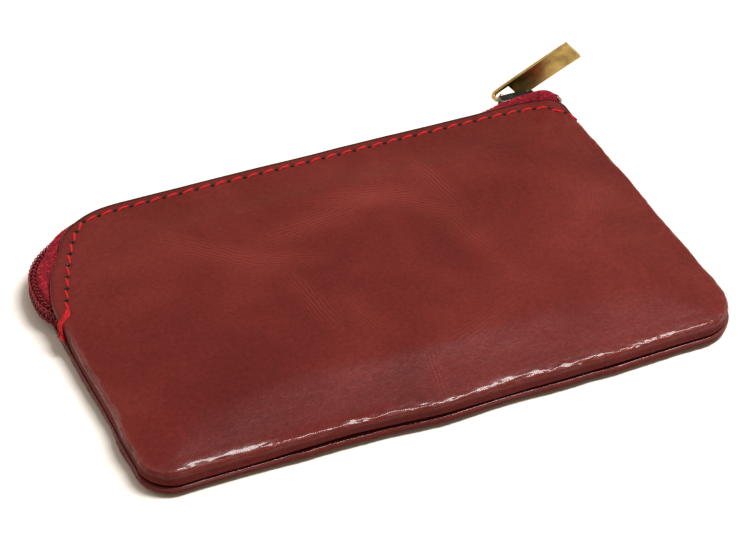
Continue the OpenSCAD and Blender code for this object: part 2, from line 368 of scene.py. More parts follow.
def mix(tree, factor, a, b, kind="MIX"):
    """Colour a, going over to b by the factor. Each may be a socket or a plain value."""
    m = tree.nodes.new("ShaderNodeMix")
    m.data_type = "RGBA"
    m.blend_type = kind
    for name, socket_kind, value in (("Factor", "VALUE", factor), ("A", "RGBA", a), ("B", "RGBA", b)):
        target = socket_of(m.inputs, name, socket_kind)
        if hasattr(value, "is_output"):
            tree.links.new(value, target)
        elif isinstance(value, (int, float)):
            target.default_value = value
        else:
            target.default_value = (*value, 1)
    return socket_of(m.outputs, "Result", "RGBA")


def maths(tree, kind, a, b=0.0, c=0.0):
    """Result of a sum on sockets or plain values. MULTIPLY_ADD gives a times b plus c."""
    m = tree.nodes.new("ShaderNodeMath")
    m.operation = kind
    for k, value in enumerate((a, b, c)):
        if hasattr(value, "is_output"):
            tree.links.new(value, m.inputs[k])
        else:
            m.inputs[k].default_value = value
    return m.outputs[0]


def layer_value(tree, name):
    """Value of a mesh layer at each point."""
    a = tree.nodes.new("ShaderNodeAttribute")
    a.attribute_name = name
    return a.outputs["Fac"]


def bumped(tree, shader, height, distance, strength=1.0, normal=None):
    """Gives the shader a bump on top of an earlier normal, and returns the new normal."""
    b = tree.nodes.new("ShaderNodeBump")
    b.inputs["Distance"].default_value = distance * MM
    b.inputs["Strength"].default_value = strength
    tree.links.new(height, b.inputs["Height"])
    if normal is not None:
        tree.links.new(normal, b.inputs["Normal"])
    tree.links.new(b.outputs["Normal"], shader.inputs["Normal"])
    return b.outputs["Normal"]


# Bands of fine wrinkles in the leather: middle, heading in degrees, half length, half width, depth
WRINKLES = [
    (-29, 15, -44, 17, 5, 1.0),
    (-17, 9, -28, 12, 4, 0.8),
    (-6, 17, 8, 19, 5, 1.0),
    (8, 21, -14, 18, 5, 1.0),
    (15, 15, -36, 16, 5, 0.9),
    (23, 21, -82, 14, 4, 1.0),
    (-17, -6, -84, 12, 4, 0.8),
    (-10, -14, -72, 10, 4, 0.5),
    (21, 2, -72, 15, 5, 0.7),
    (27, -17, -62, 12, 5, 0.5),
    (12, -24, 18, 12, 4, 0.5),
    (-3, -33, -100, 8, 2, 0.8),
    (-46, 8, 20, 9, 5, 0.4),
    (52, 2, 65, 12, 5, 0.4),
]


def wrinkle_bands(tree):
    """Height of all the wrinkle bands together, 0 where the leather is smooth."""
    place = tree.nodes.new("ShaderNodeTexCoord").outputs["Object"]
    total = 0.0
    for x, y, heading, half_length, half_width, depth in WRINKLES:
        turned = []
        for size in ((half_length, half_width, 1000), (1, 1, 1)):
            m = tree.nodes.new("ShaderNodeMapping")
            m.vector_type = "TEXTURE"
            m.inputs["Location"].default_value = (x * MM, y * MM, 0)
            m.inputs["Rotation"].default_value = (0, 0, math.radians(heading))
            m.inputs["Scale"].default_value = [v * MM for v in size]
            tree.links.new(place, m.inputs["Vector"])
            turned.append(m.outputs["Vector"])
        spot = tree.nodes.new("ShaderNodeTexGradient")
        spot.gradient_type = "SPHERICAL"
        tree.links.new(turned[0], spot.inputs["Vector"])
        lines = tree.nodes.new("ShaderNodeTexWave")
        lines.bands_direction = "Y"
        lines.inputs["Scale"].default_value = 0.36
        lines.inputs["Distortion"].default_value = 10.0
        lines.inputs["Detail"].default_value = 4.0
        lines.inputs["Detail Scale"].default_value = 0.35
        tree.links.new(turned[1], lines.inputs["Vector"])
        faded = maths(tree, "MULTIPLY", spot.outputs["Fac"], lines.outputs["Fac"])
        total = maths(tree, "ADD", maths(tree, "MULTIPLY", faded, depth), total)
    return total


DARK_LEATHER = (0.096, 0.0104, 0.0095)
MIDDLE_LEATHER = (0.128, 0.0145, 0.0133)
LIGHT_LEATHER = (0.160, 0.0218, 0.0195)
SPECK_DARK, SPECK_LIGHT = (0.30, 0.30, 0.32), (0.72, 0.70, 0.68)
FOLD_COLOR = (0.225, 0.036, 0.028)
# Paler colour where the roll turns over: partly rubbed wear, partly a painted highlight along that line
RUB_AND_HIGHLIGHT_COLOR = (0.26, 0.045, 0.034)
# Near black: the cut edge's real edge paint, also used as painted shade in the seam's groove and the needle
# holes
EDGE_PAINT_AND_SHADE = (0.012, 0.002, 0.002)
RAW_EDGE = (0.30, 0.13, 0.07)
# Painted shade in the needle holes
HOLE_SHADE_COLOR = (0.010, 0.002, 0.002)


def leather_color(tree, where, fine, folds):
    """Base colour: mottled oxblood, with paler folds, rubbed rolls with a painted highlight where they turn
    over, a painted edge, and painted shade in the seam's groove and the needle holes.
    """
    cloudy = noise(tree, where, 0.035, 4, 0.6, 0.4)
    base = ramp(tree, cloudy, (0.30, DARK_LEATHER), (0.52, MIDDLE_LEATHER), (0.75, LIGHT_LEATHER))
    speck = ramp(tree, fine, (0.35, SPECK_DARK), (0.68, SPECK_LIGHT))
    base = mix(tree, 0.38, base, speck, "OVERLAY")
    base = mix(tree, maths(tree, "MULTIPLY", folds, 0.62), base, FOLD_COLOR)
    patchy = noise(tree, where, 0.5, 4, 0.7)
    # Rubbed wear and a painted highlight along the roll's shoulder, in patches
    rub_and_highlight = maths(tree, "MULTIPLY", layer_value(tree, "rub_and_highlight"), patchy)
    base = mix(tree, maths(tree, "MULTIPLY", rub_and_highlight, 0.5), base, RUB_AND_HIGHLIGHT_COLOR)
    # Edge paint with painted shade in the groove and holes, the raw edge, and painted shade in the needle
    # holes
    for layer, color in (("edge_paint_and_shade", EDGE_PAINT_AND_SHADE), ("raw", RAW_EDGE), ("hole", HOLE_SHADE_COLOR)):
        base = mix(tree, layer_value(tree, layer), base, color)
    return base


def leather_material():
    """Smooth oxblood leather with fine grain and folds, polished but for its holes and side walls."""
    m, tree, shader = material("oxblood_leather")
    where = object_space(tree)
    fine = noise(tree, where, 1.1, 4, 0.75)
    folds = wrinkle_bands(tree)
    tree.links.new(leather_color(tree, where, fine, folds), shader.inputs["Base Color"])
    dull = layer_value(tree, "dull")
    gloss = maths(tree, "MULTIPLY_ADD", fine, 0.14, 0.26)
    rougher = maths(tree, "MULTIPLY", dull, 0.5)
    tree.links.new(maths(tree, "ADD", gloss, rougher), shader.inputs["Roughness"])
    shader.inputs["Specular IOR Level"].default_value = 0.14
    tree.links.new(maths(tree, "MULTIPLY_ADD", dull, -0.26, 0.27), shader.inputs["Coat Weight"])
    shader.inputs["Coat Roughness"].default_value = 0.10
    grain = tree.nodes.new("ShaderNodeTexVoronoi")
    grain.feature = "SMOOTH_F1"
    grain.inputs["Scale"].default_value = 2.1
    tree.links.new(where, grain.inputs["Vector"])
    pores = bumped(tree, shader, grain.outputs["Distance"], 0.03, 0.55)
    rough = bumped(tree, shader, noise(tree, where, 0.65, 5, 0.66, 0.6), 0.11, 0.5, pores)
    folded = bumped(tree, shader, folds, 0.10, 0.6, rough)
    creased = noise(tree, where, 1.7, 4, 0.7, 0.8)
    crackle = maths(tree, "MULTIPLY", creased, layer_value(tree, "rub_and_highlight"))
    bumped(tree, shader, crackle, 0.22, 0.7, folded)
    return m


def woven_material():
    """Dark red woven zip tape with uneven dye, painted shade in the hollows of its weave, and a little sheen.
    """
    m, tree, shader = material("zip_tape_red")
    where = object_space(tree)
    dye = noise(tree, where, 1.3, 4, 0.75)
    dark, middle, light = (0.075, 0.002, 0.006), (0.27, 0.006, 0.018), (0.66, 0.018, 0.048)
    base = ramp(tree, dye, (0.32, dark), (0.5, middle), (0.70, light))
    # Painted shade in the hollows of the weave: its low parts go near black
    low = maths(tree, "SUBTRACT", 1.0, layer_value(tree, "weave"))
    base = mix(tree, low, base, (0.028, 0.001, 0.003))
    tree.links.new(base, shader.inputs["Base Color"])
    shader.inputs["Roughness"].default_value = 0.82
    shader.inputs["Specular IOR Level"].default_value = 0.2
    shader.inputs["Sheen Weight"].default_value = 0.08
    shader.inputs["Sheen Roughness"].default_value = 0.4
    bumped(tree, shader, noise(tree, where, 5.0, 3, 0.7), 0.06, 0.6)
    return m


def thread_material(name, light, dark):
    """Matt twisted thread, with painted shade in random dark patches standing for the gaps between its
    strands.
    """
    m, tree, shader = material(name)
    where = object_space(tree)
    # Painted shade: darker patches for the gaps between strands
    strands = noise(tree, where, 3.2, 4, 0.7)
    base = ramp(tree, strands, (0.3, dark), (0.65, light))
    tree.links.new(base, shader.inputs["Base Color"])
    shader.inputs["Roughness"].default_value = 0.62
    shader.inputs["Specular IOR Level"].default_value = 0.2
    shader.inputs["Sheen Weight"].default_value = 0.08
    bumped(tree, shader, noise(tree, where, 7.0, 2, 0.6), 0.04, 0.6)
    return m


def nylon_material():
    """Half-matt dark red nylon of the coil."""
    m, tree, shader = material("red_nylon")
    where = object_space(tree)
    dark, light = (0.09, 0.003, 0.007), (0.22, 0.009, 0.018)
    base = ramp(tree, noise(tree, where, 0.9, 3), (0.3, dark), (0.7, light))
    tree.links.new(base, shader.inputs["Base Color"])
    shader.inputs["Roughness"].default_value = 0.5
    shader.inputs["Specular IOR Level"].default_value = 0.3
    bumped(tree, shader, noise(tree, where, 4.0, 2), 0.02, 0.4)
    return m


def edge_wear(tree, radius):
    """1 on sharp edges and 0 on flats, and the rounded normal."""
    rounded = tree.nodes.new("ShaderNodeBevel")
    rounded.samples = 6
    rounded.inputs["Radius"].default_value = radius * MM
    flat = tree.nodes.new("ShaderNodeNewGeometry")
    same = tree.nodes.new("ShaderNodeVectorMath")
    same.operation = "DOT_PRODUCT"
    tree.links.new(rounded.outputs["Normal"], same.inputs[0])
    tree.links.new(flat.outputs["True Normal"], same.inputs[1])
    worn = maths(tree, "SUBTRACT", 1.0, same.outputs["Value"])
    return maths(tree, "MULTIPLY", worn, 9.0), rounded.outputs["Normal"]


def gunmetal_material():
    """Dark plated slider with slightly brassy worn edges."""
    m, tree, shader = material("gunmetal")
    where = object_space(tree)
    worn, normal = edge_wear(tree, 0.25)
    dark, light = (0.035, 0.034, 0.033), (0.085, 0.080, 0.074)
    base = ramp(tree, noise(tree, where, 0.8, 4), (0.3, dark), (0.7, light))
    base = mix(tree, maths(tree, "MINIMUM", worn, 0.8), base, (0.30, 0.25, 0.17))
    tree.links.new(base, shader.inputs["Base Color"])
    shader.inputs["Metallic"].default_value = 0.9
    shader.inputs["Roughness"].default_value = 0.38
    bumped(tree, shader, noise(tree, where, 3.0, 3), 0.02, 0.5, normal)
    return m


def brass_material():
    """Antique brass: brown patina in the flats, bright rubbed edges."""
    m, tree, shader = material("antique_brass")
    where = object_space(tree)
    worn, normal = edge_wear(tree, 0.18)
    patina = noise(tree, where, 0.16, 3, 0.6, 0.3)
    brown, old, clean = (0.22, 0.15, 0.055), (0.42, 0.31, 0.115), (0.62, 0.49, 0.20)
    base = ramp(tree, patina, (0.32, brown), (0.5, old), (0.7, clean))
    spots = noise(tree, where, 2.4, 4, 0.8)
    spotted = ramp(tree, spots, (0.35, (0.25, 0.16, 0.07)), (0.7, (0.70, 0.52, 0.26)))
    base = mix(tree, 0.35, base, spotted, "OVERLAY")
    base = mix(tree, maths(tree, "MINIMUM", worn, 1.0), base, (0.86, 0.66, 0.33))
    tree.links.new(base, shader.inputs["Base Color"])
    shader.inputs["Metallic"].default_value = 1.0
    tree.links.new(maths(tree, "MULTIPLY_ADD", spots, 0.25, 0.2), shader.inputs["Roughness"])
    bumped(tree, shader, spots, 0.012, 0.35, normal)
    return m


leather = leather_material()
tape_red = woven_material()
stitch_red = thread_material("stitch_red", (0.66, 0.006, 0.012), (0.30, 0.003, 0.005))
dull_red = thread_material("dull_red_thread", (0.34, 0.014, 0.030), (0.12, 0.004, 0.010))
nylon = nylon_material()
gunmetal = gunmetal_material()
brass = brass_material()


# ---- Leather panels ----

MIDDLE_RISE = 0.45
BACK_INNER_Z = 0.02
# Rows of points of a panel: over its edge section, then inwards to a line along the middle
EDGE_STEP = 0.42
ROWS_EDGE = 34
ROWS_INNER = 84
SECTION_DEPTH = 3.6
SPINE_INSET = 40.0

# Sections of a panel edge as (distance outwards, height). The seamed edge rolls from the
# groove over the top. The cut edge is square with softened corners.
ROLLED = [
    (-2.4, 0.06), (-1.2, 0.07), (-0.5, 0.14), (-0.12, 0.38), (0.02, 0.85), (0.0, 1.45), (-0.06, 2.05),
    (-0.22, 2.56), (-0.55, 2.94), (-1.05, 3.18), (-1.8, 3.36), (-2.7, 3.53), (-3.6, 3.68),
]
CUT = [
    (-0.05, -1.0), (0.02, -0.8), (0.05, -0.55), (0.04, -0.3), (-0.02, -0.14), (-0.13, -0.04), (-0.32, 0.0),
    (-0.7, 0.01), (-1.3, 0.01), (-1.9, 0.0), (-2.5, -0.01), (-3.0, 0.0), (-3.6, 0.02),
]
# Lower half of the roll, which belongs to the back panel, measured down from the seam
ROLLED_BACK = [
    (-2.4, -0.06), (-1.2, -0.07), (-0.4, -0.10), (0.05, -0.20), (0.32, -0.42), (0.42, -0.78), (0.36, -1.15),
    (0.12, -1.48), (-0.35, -1.68), (-1.0, -1.82), (-1.8, -1.93), (-2.7, -2.05), (-3.6, -2.14),
]

panel_noise = Noise(11)
crumple_noise = Noise(23)


def settled_sheet():
    """Heights of a slack sheet of leather held round its rim and let go, from a cloth run on a coarse grid.

    Returns the grid's x, y and height in mm. The sag is turned over, so it stands up from the rim.
    """
    columns, rows, share, inset = 78, 50, 0.1, 3
    xs = np.linspace(-HALF_W + inset, HALF_W - inset, columns)
    ys = np.linspace(-HALF_D + inset, HALF_D - inset, rows)
    x, y = np.meshgrid(xs, ys, indexing="ij")
    rim = np.minimum(np.minimum(x - xs[0], xs[-1] - x), np.minimum(y - ys[0], ys[-1] - y))
    slack = Noise(5).layers(x, y, 19, 3) * smooth(rim, 0, 9)
    z = -0.75 * smooth(rim, 0, 22) + 0.55 * slack
    data = bpy.data.meshes.new("sheet")
    points = np.stack([x, y, z], -1).reshape(-1, 3) * share
    data.from_pydata(points.tolist(), [], grid_faces(columns, rows).tolist())
    obj = bpy.data.objects.new("sheet", data)
    bpy.context.scene.collection.objects.link(obj)
    held = obj.vertex_groups.new(name="held")
    held.add(np.flatnonzero(rim.ravel() < 0.1).tolist(), 1.0, "REPLACE")
    cloth = obj.modifiers.new("cloth", "CLOTH")
    cloth.settings.vertex_group_mass = "held"
    cloth.settings.quality = 8
    cloth.settings.mass = 0.4
    cloth.settings.tension_stiffness = 40
    cloth.settings.compression_stiffness = 40
    cloth.settings.shear_stiffness = 20
    cloth.settings.bending_stiffness = 12
    cloth.collision_settings.use_self_collision = False
    frames = 36
    cloth.point_cache.frame_end = frames
    scene = bpy.context.scene
    for step in range(1, frames + 1):
        scene.frame_set(step)
    result = obj.evaluated_get(bpy.context.evaluated_depsgraph_get()).data
    settled = np.empty(len(result.vertices) * 3, np.float32)
    result.vertices.foreach_get("co", settled)
    bpy.data.objects.remove(obj)
    scene.frame_set(1)
    height = -settled.reshape(columns, rows, 3)[..., 2] / share
    print("settled sheet: %.2f to %.2f mm" % (height.min(), height.max()))
    return xs, ys, np.clip(height, -0.4, 2.6)


sheet_x, sheet_y, sheet_z = settled_sheet()


def sheet_height(x, y):
    """Height of the settled sheet at any point, smoothly read from its grid."""
    i = np.clip((x - sheet_x[0]) / (sheet_x[1] - sheet_x[0]), 0, len(sheet_x) - 1.001)
    j = np.clip((y - sheet_y[0]) / (sheet_y[1] - sheet_y[0]), 0, len(sheet_y) - 1.001)
    low_i, low_j = i.astype(int), j.astype(int)
    total = 0.0
    for di in range(-1, 3):
        for dj in range(-1, 3):
            weight = spline(i - low_i - di) * spline(j - low_j - dj)
            column = np.clip(low_i + di, 0, len(sheet_x) - 1)
            row = np.clip(low_j + dj, 0, len(sheet_y) - 1)
            total = total + weight * sheet_z[column, row]
    return total


def spline(t):
    """Weight of a grid value at distance t (cubic B-spline)."""
    t = np.abs(t)
    near = (4 - 6 * t**2 + 3 * t**3) / 6
    far = np.clip(2 - t, 0, None) ** 3 / 6
    return np.where(t < 1, near, far)


# How the filled front falls towards its seams and its zip, and where the left side goes from one to the other
FALL, LOW_FALL = 9.0, 7.2
SEAM_DROP, ZIP_DROP = 0.95, 0.4
CORNER_Y = 12.0


def pillow(x, y):
    """Height of the filled pouch away from its edges."""
    seamed = smooth(CORNER_Y - y, -6, 6)
    zipped = smooth(y - CORNER_Y, -6, 6)
    left = np.exp((-x - HALF_W) / FALL)
    right = np.exp((x - HALF_W) / FALL)
    low = np.exp((-y - HALF_D) / LOW_FALL)
    high = np.exp((y - HALF_D) / FALL)
    seams = np.minimum(left * seamed + right + low, 1)
    zips = np.minimum(left * zipped + high, 1)
    return LIP_Z + MIDDLE_RISE - SEAM_DROP * seams - ZIP_DROP * zips


# Needle row: down the left side, round the corners and over the closed end, as distances in from
# the left or right side and from the zipped side
ROW_LEFT = [(1.7, 29.8), (3.1, 25.2), (5.3, 19.6), (8.0, 13.3), (11.0, 7.8), (13.6, 4.3)]
ROW_TOP = [(15.2, 3.7), (22.0, 2.75), (40.0, 2.45), (64.0, 2.5), (86.0, 2.5), (106.0, 2.6), (117.0, 3.0)]
ROW_RIGHT = [(4.9, 3.9), (2.7, 5.0), (1.2, 6.9), (0.35, 9.2)]


def needle_row():
    """Needle holes at an even pitch along the row."""
    from_left = [(-HALF_W + x, HALF_D - y) for x, y in ROW_LEFT + ROW_TOP]
    from_right = [(HALF_W - x, HALF_D - y) for x, y in ROW_RIGHT]
    path = curve_through(from_left + from_right, 2000)
    x, y = lean(path[:, 0], path[:, 1])
    along = np.concatenate([[0], np.cumsum(np.hypot(np.diff(x), np.diff(y)))])
    count = int(along[-1] / STITCH_PITCH)
    at = np.linspace(0, along[-1], count + 1)
    return np.stack([np.interp(at, along, x), np.interp(at, along, y)], 1)


hole_points = needle_row()


HOLE_R, HOLE_DEPTH = 0.42, 0.4


def pits(x, y):
    """1 in the middle of a needle hole, 0 away from them all."""
    total = np.zeros_like(x)
    # Skips the points that are nowhere near the row
    near = y + 1.6 * np.maximum(0, -x - 40) + np.maximum(0, x - 50) > HALF_D - 10
    px, py = x[near], y[near]
    sunk = np.zeros_like(px)
    for hx, hy in hole_points:
        sunk = np.maximum(sunk, np.exp(-((px - hx) ** 2 + (py - hy) ** 2) / HOLE_R**2))
    total[near] = sunk
    return total


# Unevenness of the panel's edge: fine crumples, dents outwards and upwards, and slow waves of the outline
CRUMPLE, DENT_OUT, DENT_UP, SLOW_WAVE = 0.07, 0.42, 0.26, 0.12
BACK_INDENT_SHARE, BACK_DENT_SHARE = 0.3, 0.2
RIGHT_SIDE_CALM = 0.6
CORNER_DROP = 1.3
GATHER_FROM = 0.7
SHOULDER_SLOPE, SHOULDER_FALL = 0.17, 6.0


def edge_rows(front, s, w):
    """Rows of a panel's edge as distances outwards and heights: its section, dents and swells."""
    rolled = curve_through(ROLLED if front else ROLLED_BACK, ROWS_EDGE)
    cut = curve_through(CUT, ROWS_EDGE)
    if not front:
        cut = cut * np.array([1, -1])
    lip = LIP_Z if front else BACK_INNER_Z
    u = rolled[None, :, 0] * (1 - w) + cut[None, :, 0] * w
    z = (SEAM_Z + rolled[None, :, 1]) * (1 - w) + (lip + cut[None, :, 1]) * w
    turn = np.arange(ROWS_EDGE)[None, :] + 0 * u
    along = s[:, None] + 0 * u
    crumple = CRUMPLE * crumple_noise.layers(along, 0.75 * turn, 1.5, 3)
    dents = crumple_noise.layers(along + 50, 0.1 * turn, 11, 2)
    on_roll = smooth(turn, 7, 15) * (1 - smooth(turn, 21, 31)) * (1 - w)
    slow = SLOW_WAVE * edge_noise.layers(along, 0 * u, 19)
    right_side = smooth(s, S_RIGHT - 2, S_RIGHT + 8) * (1 - smooth(s, S_FAR_ARC - 8, S_FAR_ARC))
    calm = (1 - RIGHT_SIDE_CALM * right_side)[:, None]
    indent = (lip_indent(s) * (1 if front else BACK_INDENT_SHARE))[:, None] * w
    # The rows crowd together round the small corner, so that they don't cross
    gather = (1 - 0.75 * bump(s, S_SMALL_ARC + 3, 6))[:, None]
    u = np.where(u < -GATHER_FROM, -GATHER_FROM + (u + GATHER_FROM) * gather, u)
    u = u + calm * ((crumple + DENT_OUT * dents) * on_roll + slow) + indent
    z = z + (crumple + DENT_UP * dents) * on_roll * (1 if front else BACK_DENT_SHARE)
    if front:
        z = z - CORNER_DROP * bump(s, S_SMALL_ARC + 8, 8)[:, None] * w
    return u, z


def panel_points(front):
    """Rows of points from the edge inwards to the middle line of the panel."""
    p, n, s = outline(EDGE_STEP)
    w = zip_weight(s)[:, None]
    u, z = edge_rows(front, s, w)
    edge = p[:, None, :] + n[:, None, :] * u[..., None]
    spine_x = np.clip(p[:, 0], -HALF_W + SPINE_INSET, HALF_W - SPINE_INSET)
    spine = np.stack([np.round(2 * spine_x) / 2, 0 * spine_x], 1)
    f = (np.arange(1, ROWS_INNER + 1) / ROWS_INNER)[None, :, None]
    inner = edge[:, -1:, :] * (1 - f) + spine[:, None, :] * f
    gap = np.linalg.norm(edge[:, -1, :] - spine, axis=1)[:, None]
    t = f[..., 0] * gap
    if front:
        rise = SHOULDER_SLOPE * SHOULDER_FALL * (1 - np.exp(-t / SHOULDER_FALL))
        shoulder = z[:, -1:] + rise * (1 - w)
        z_inner = shoulder + (pillow(inner[..., 0], inner[..., 1]) - shoulder) * smooth(t, 0, 14)
    else:
        z_inner = z[:, -1:] + (BACK_INNER_Z - z[:, -1:]) * smooth(t, 0, 4)
    xy = np.concatenate([edge, inner], 1)
    z = np.concatenate([z, z_inner], 1)
    depth_in = np.concatenate([-u, SECTION_DEPTH + t], 1)
    x, y = lean(xy[..., 0], xy[..., 1])
    return x, y, z, depth_in, w, s


# Rows of the edge section: where the roll turns over on the front and the back panel, and the cut edge's face
TURN_ROW_FRONT, TURN_ROW_BACK = 21, 9
RAW_ROWS = (3, 9)
SHEET_SHARE = 0.32
RIPPLE = 0.035


def leather_layers(front, s, row, cut, pit):
    """Values from 0 to 1 that the leather's material reads at each point of a panel."""
    seamed = 1 - cut
    # Rubbed wear and a painted highlight, on the row where each roll turns over
    rub_and_highlight = bump(row, TURN_ROW_FRONT if front else TURN_ROW_BACK, 3.5) * seamed
    along_top = (0.25 + 0.75 * smooth(s, S_BIG_ARC + 8, S_TOP))[:, None]
    painted_edge = (1 - smooth(row, 16.5, 20.5)) * along_top * cut
    # Painted shade in the seam's groove between the panels, darkest at the seam
    groove = 0.75 * np.clip(1 - row / 10.0, 0, 1) * seamed
    raw_face = (row > RAW_ROWS[0]) * (row < RAW_ROWS[1]) * cut
    if front:
        side_wall = (1 - smooth(row, 15, 19)) * seamed
    else:
        side_wall = smooth(np.abs(row - TURN_ROW_BACK), 2, 4) * seamed
    # The edge paint layer also holds painted shade in the groove and the needle holes, and the hole layer is
    # painted shade in the needle holes
    layers = {
        "rub_and_highlight": rub_and_highlight,
        "edge_paint_and_shade": painted_edge + groove + 0.95 * np.clip(1.3 * pit, 0, 1),
        "raw": 0.8 * bump(s, S_ZIP_START + 8, 11)[:, None] * raw_face,
        "hole": 1.6 * pit,
        "dull": 1.6 * pit + side_wall,
    }
    return {name: np.clip(values, 0, 1).ravel() for name, values in layers.items()}


def leather_panel(front):
    """One leather panel with its edges, dents, needle holes and the layers of its material."""
    x, y, z, depth_in, w, s = panel_points(front)
    row = np.arange(x.shape[1])[None, :] + 0 * x
    pit = np.zeros_like(x)
    if front:
        z = z + smooth(depth_in, 3, 16) * SHEET_SHARE * sheet_height(x, y)
        z = z + smooth(depth_in, 1.5, 9) * RIPPLE * panel_noise.layers(x + 90, y, 6, 2)
        pit = pits(x, y)
        z = z - HOLE_DEPTH * pit
    else:
        z = np.maximum(z, 0.0)
    count, rows = x.shape
    points = np.stack([x, y, z], -1).reshape(-1, 3)
    faces = grid_faces(count, rows, wrap_rows=True)
    if front:
        faces = faces[:, ::-1]
    name = "leather_front" if front else "leather_back"
    node = "front_panel" if front else "back_panel"
    layers = leather_layers(front, s, row, w + 0 * x, pit)
    obj = mesh(name, points, faces, leather, "pouch", [node], layers)
    weld = obj.modifiers.new("weld", "WELD")
    weld.merge_threshold = 0.02 * MM
    thick = obj.modifiers.new("thick", "SOLIDIFY")
    thick.thickness = (LEATHER_T - 0.1) * MM
    thick.offset = -1
    thick.use_even_offset = False
    return obj


# ---- Zip ----


def chain_point(s, u, z):
    """Point of the zip at distance s, u outwards from the plain outline."""
    p, n = on_outline(s)
    p = p + n * np.asarray(u)[..., None]
    x, y = lean(p[..., 0], p[..., 1])
    return np.stack([x, y, np.asarray(z) + 0 * x], -1)


def s_of_x(x):
    """Distance along the outline of a place on the zipped side."""
    return S_TOP + x + HALF_W - ZIP_R


# How far the closed chain sinks between the lips: all along, from the big corner on, and in two deeper
# dips as (middle along the outline, depth, width). At its ends it dives in between the panels.
SINK_ALL, SINK_TOP = 0.4, 1.1
CHAIN_DIPS = [(S_BIG_ARC + 17, 2.3, 9), (S_BIG_ARC + 27, 0.9, 7)]
START_DIVE, STOP_DIVE = 4.2, 5.0


def chain_shift(s):
    """How far out the chain is from its place in the CAD, never above 0. By the slider it isn't sunk."""
    sunk = SINK_ALL + SINK_TOP * smooth(s, S_BIG_ARC - 4, S_BIG_ARC + 18)
    sunk = sunk + sum(depth * bump(s, middle, width) for middle, depth, width in CHAIN_DIPS)
    by_slider = smooth(s, s_of_x(SLIDER_X - 12), s_of_x(SLIDER_X - 5))
    start = START_DIVE * (1 - smooth(s, S_ZIP_START - 2, S_BIG_ARC - 2)) ** 1.5
    stop = STOP_DIVE * smooth(s, S_SMALL_ARC + 0.5, S_SMALL_ARC + 7)
    return -sunk * (1 - by_slider) - start - stop


def bulge(s):
    """How far the front tape is pushed out round the slider."""
    end = 1 - 0.6 * smooth(s, S_SMALL_ARC + 1, S_SMALL_ARC + 6)
    return smooth(s, s_of_x(SLIDER_X - 21), s_of_x(SLIDER_X + 4)) * end


# Sections of the tape as (distance outwards, height over the chain's middle), from the coil inwards
TAPE_FRONT_FLAT = [
    (0.85, 0.62), (0.85, 1.2), (0.72, 1.6), (0.4, 1.8), (0.0, 1.85), (-0.8, 1.85), (-2.4, 1.85), (-5, 1.85),
    (-7.6, 1.85),
]
TAPE_FRONT_BULGED = [
    (0.85, 0.62), (1.3, 1.6), (1.75, 2.5), (1.6, 3.2), (1.0, 3.1), (0.3, 2.4), (-0.6, 1.88), (-5, 1.85),
    (-7.6, 1.85),
]
TAPE_BACK = [
    (0.85, 0.62), (0.85, 1.6), (0.75, 2.2), (0.45, 2.5), (0.0, 2.6), (-0.8, 2.6), (-2.4, 2.6), (-5, 2.6),
    (-7.6, 2.6),
]
TAPE_T = 0.34
TAPE_ROWS = 110
TAPE_STEP = 0.16
# The weave: ribs across the tape, shifted every half wale, and rows along it
RIB_PITCH = 0.62
WALE_ROWS, WAVE_ROWS = 9, 4.5
WEAVE_LIFT = 0.2


def tape_section(front, s):
    """Distances outwards and heights over the chain's middle of each point of the tape."""
    if not front:
        section = curve_through(TAPE_BACK, TAPE_ROWS)
        return section[None, :, 0] + 0 * s[:, None], section[None, :, 1] + 0 * s[:, None]
    flat = curve_through(TAPE_FRONT_FLAT, TAPE_ROWS)
    pushed = curve_through(TAPE_FRONT_BULGED, TAPE_ROWS)
    b = bulge(s)[:, None]
    u = flat[None, :, 0] * (1 - b) + pushed[None, :, 0] * b
    dz = flat[None, :, 1] * (1 - b) + pushed[None, :, 1] * b
    return u, dz


def weave_height(s, k):
    """Height of the weave, about 0 to 1, at distance s along the tape and row k across it."""
    offset = 0.25 * np.sign(np.sin(k * 2 * math.pi / WALE_ROWS))
    rib = 0.5 + 0.5 * np.cos(2 * math.pi * (s / RIB_PITCH + offset))
    rows = 0.5 + 0.5 * np.cos(2 * math.pi * k / WAVE_ROWS)
    return 0.55 * rib + 0.45 * rows + 0.18 * crumple_noise.layers(s * 1.7 + 0 * k, k * 0.9 + 0 * s, 1.6)


def zip_tape(front):
    """One half of the woven tape, wrapped over its half of the coil."""
    s = np.arange(S_ZIP_START - 1.0, S_CHAIN_STOP, TAPE_STEP)
    u, dz = tape_section(front, s)
    # The tape may not reach past the middle of the small corner, where its rows would cross
    limit = END_R - 0.6
    tight = smooth(s, S_SMALL_ARC - 3, S_SMALL_ARC)[:, None]
    u = np.where(u < -limit, u * (1 - tight) - limit * tight, u)
    out = smooth(u, -1.5, 0.3) * chain_shift(s)[:, None]
    dz = dz * (1 - 0.5 * smooth(s, S_SMALL_ARC - 1, S_CHAIN_STOP))[:, None]
    k = np.arange(TAPE_ROWS)[None, :]
    weave = weave_height(s[:, None], k)
    du, dd = np.gradient(u, axis=1), np.gradient(dz, axis=1)
    size = np.hypot(du, dd) + 1e-9
    lift = WEAVE_LIFT * (weave - 0.5)
    u = u + out + dd / size * lift
    dz = dz - du / size * lift
    sign = 1 if front else -1
    points = chain_point(s[:, None] + 0 * u, u, CHAIN_Z + sign * dz)
    faces = grid_faces(len(s), TAPE_ROWS)
    if not front:
        faces = faces[:, ::-1]
    name = "tape_front" if front else "tape_back"
    node = "zip_tape_front" if front else "zip_tape_back"
    layers = {"weave": np.clip(weave, 0, 1).ravel()}
    obj = mesh(name, points.reshape(-1, 3), faces, tape_red, "pouch", [node], layers)
    thick = obj.modifiers.new("thick", "SOLIDIFY")
    thick.thickness = TAPE_T * MM
    thick.offset = -1
    return obj


# How much further each half of the coil stands off the chain's middle past the slider's wedge
PARTING = 0.62


